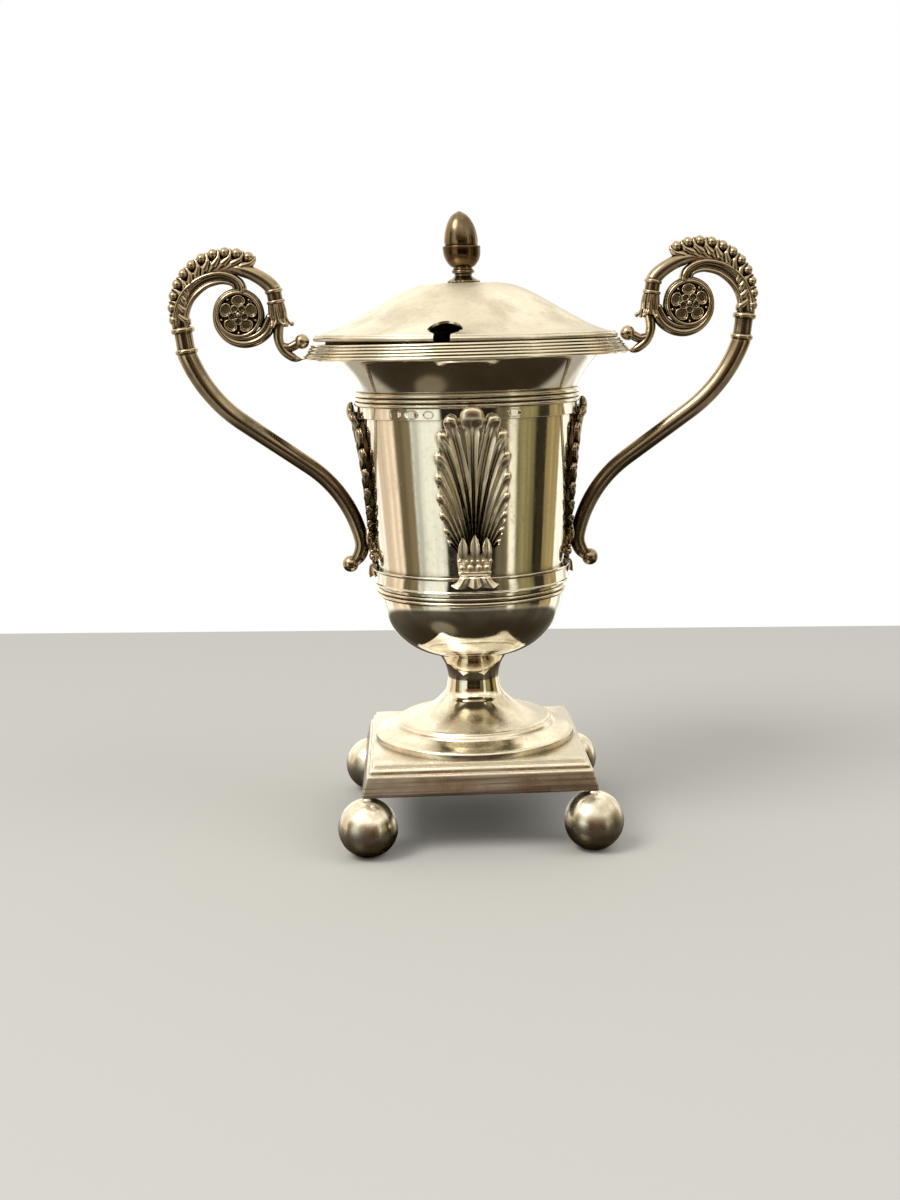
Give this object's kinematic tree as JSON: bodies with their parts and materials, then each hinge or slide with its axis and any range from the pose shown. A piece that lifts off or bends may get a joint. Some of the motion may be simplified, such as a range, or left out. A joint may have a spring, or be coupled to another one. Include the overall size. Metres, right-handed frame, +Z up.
{
  "type": "covered silver vase",
  "caption": "Covered urn-shaped table vase with a lift-off notched lid, acorn finial and two scrolled handles on a trumpet foot, square plinth and ball feet.",
  "frame": {"origin": "on the table surface at the vase's vertical axis", "axes": "+Z up along the vase's axis, +X towards the right handle seen from the front, -Y towards the front palmette"},
  "size_m": [0.153, 0.0858, 0.1625],
  "materials": {
    "silver_vase": "polished sterling silver with a warm tone, fine scratches and brown tarnish in the recesses",
    "silver_lid": "polished sterling silver, softly scratched",
    "silver_base": "polished sterling silver, brown tarnish on the plinth's sides",
    "silver_cast": "cast and chased silver with dark brown patina in the hollows",
    "silver_finial": "cast silver, browned",
    "silver_balls": "polished silver, speckled with fine pits"
  },
  "bodies": {
    "vase": {"ball_foot_back_left": "silver_balls", "ball_foot_back_right": "silver_balls", "ball_foot_front_left": "silver_balls", "ball_foot_front_right": "silver_balls", "foot_disc": "silver_base", "foot_stem": "silver_base", "handle_left_arch": "silver_cast", "handle_left_arm": "silver_cast", "handle_left_calyx": "silver_cast", "handle_left_inner_collar": "silver_cast", "handle_left_leaf_crest": "silver_cast", "handle_left_outer_collar": "silver_cast", "handle_left_rim_bracket": "silver_cast", "handle_left_rosette": "silver_cast", "handle_left_volute": "silver_cast", "handle_right_arch": "silver_cast", "handle_right_arm": "silver_cast", "handle_right_calyx": "silver_cast", "handle_right_inner_collar": "silver_cast", "handle_right_leaf_crest": "silver_cast", "handle_right_outer_collar": "silver_cast", "handle_right_rim_bracket": "silver_cast", "handle_right_rosette": "silver_cast", "handle_right_volute": "silver_cast", "lower_band": "silver_vase", "lower_reeds": "silver_vase", "neck_rings": "silver_vase", "palmette_back": "silver_cast", "palmette_front": "silver_cast", "palmette_left": "silver_cast", "palmette_right": "silver_cast", "plinth": "silver_base", "rim_moulding": "silver_vase", "upper_band": "silver_vase", "vase_body": "silver_vase"},
    "lid": {"finial_acorn": "silver_finial", "finial_base": "silver_finial", "finial_cup": "silver_finial", "finial_nut": "silver_finial", "finial_stud": "silver_finial", "lid_bezel": "silver_lid", "lid_dome": "silver_lid", "lid_edge_wire": "silver_lid"}
  },
  "joints": [
    {"name": "lid_lift", "type": "slide", "parent": "vase", "child": "lid", "axis": [0, 0, 1], "range_m": [0, 0.06]}
  ]
}
